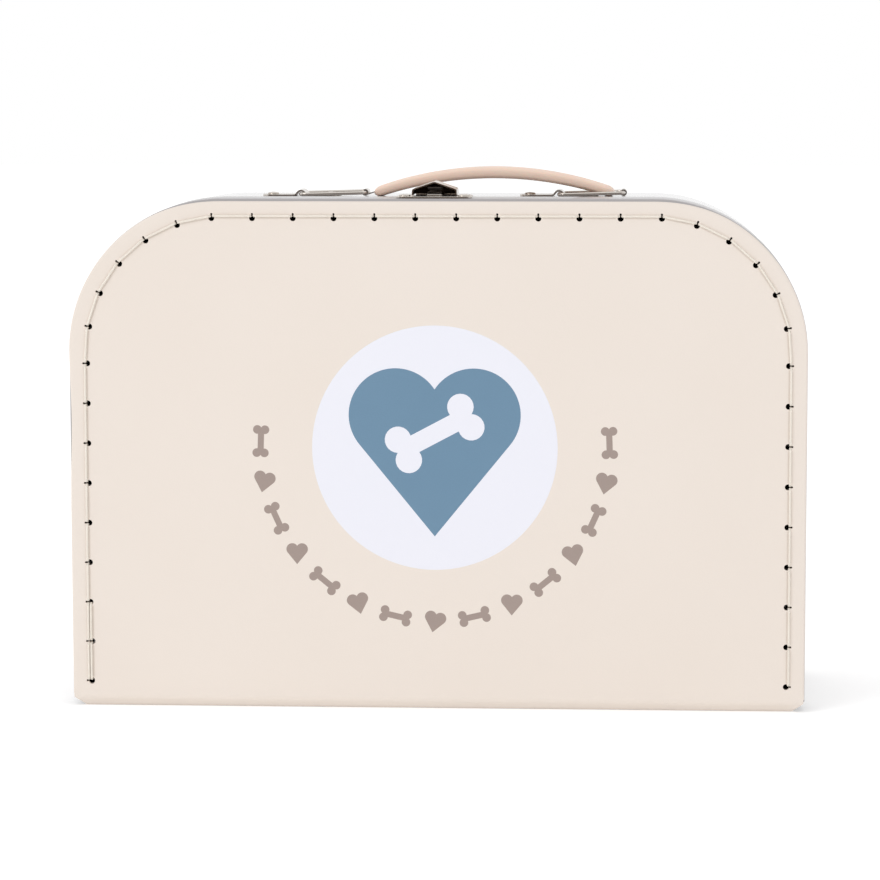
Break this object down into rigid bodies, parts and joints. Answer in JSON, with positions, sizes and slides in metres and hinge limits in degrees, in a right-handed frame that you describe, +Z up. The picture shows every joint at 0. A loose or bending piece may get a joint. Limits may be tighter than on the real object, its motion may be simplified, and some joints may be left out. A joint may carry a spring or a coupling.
{
  "type": "toy vet case",
  "caption": "Arched child's play case of stitched board with a fold-down printed face, a hinged metal hasp and a bowed carrying handle on wire rings.",
  "frame": {"origin": "middle of the underside that the case stands on", "axes": "+Z up, +X across the case to the right as seen from the printed face, -Y out of the printed face"},
  "size_m": [0.3004, 0.097, 0.22],
  "materials": {
    "face_board": "printed board, satin",
    "wall_board": "coated board, satin",
    "sewing_thread": "twisted cotton",
    "nickel": "nickel plated, polished",
    "spring_steel": "bare",
    "grip_plastic": "moulded, satin"
  },
  "bodies": {
    "base": {"base_board": "face_board", "base_wall": "wall_board", "base_thread": "sewing_thread", "base_under_thread": "sewing_thread", "handle_bracket_left": "nickel", "handle_bracket_right": "nickel", "bracket_rivets": "nickel", "bracket_washers": "nickel", "latch_hinge_plate": "nickel", "hinge_plate_rivets": "nickel", "hinge_plate_washers": "nickel", "latch_pin": "nickel"},
    "lid": {"lid_panel": "face_board", "lid_wall": "wall_board", "lid_thread": "sewing_thread", "lid_under_thread": "sewing_thread", "latch_catch": "nickel", "catch_rivets": "nickel", "catch_washers": "nickel"},
    "hasp": {"latch_hasp": "nickel", "latch_spring": "spring_steel"},
    "ring_left": {"handle_ring_left": "nickel"},
    "ring_right": {"handle_ring_right": "nickel"},
    "handle": {"handle_strap": "nickel", "handle_grip": "grip_plastic"}
  },
  "joints": [
    {"name": "lid_fold", "type": "hinge", "parent": "base", "child": "lid", "pos_m": [0, -0.04675, 0.0033], "axis": [1, 0, 0], "range_deg": [0, 90]},
    {"name": "hasp_lift", "type": "hinge", "parent": "base", "child": "hasp", "pos_m": [-0.0013, -0.0175, 0.2097], "axis": [-1, 0, 0], "range_deg": [0, 115]},
    {"name": "handle_swing", "type": "hinge", "parent": "base", "child": "ring_left", "pos_m": [-0.06025, 0.015, 0.2085], "axis": [0, -1, 0], "range_deg": [0, 177]},
    {"name": "ring_right_swing", "type": "hinge", "parent": "base", "child": "ring_right", "pos_m": [0.04815, 0.015, 0.2085], "axis": [0, -1, 0], "range_deg": [0, 177]},
    {"name": "handle_level", "type": "hinge", "parent": "ring_left", "child": "handle", "pos_m": [-0.03326, 0.015, 0.2092], "axis": [0, -1, 0], "range_deg": [-177, 0]}
  ],
  "couplings": [
    {"joint": "ring_right_swing", "follows": "handle_swing", "ratio": 1},
    {"joint": "handle_level", "follows": "handle_swing", "ratio": -1}
  ]
}
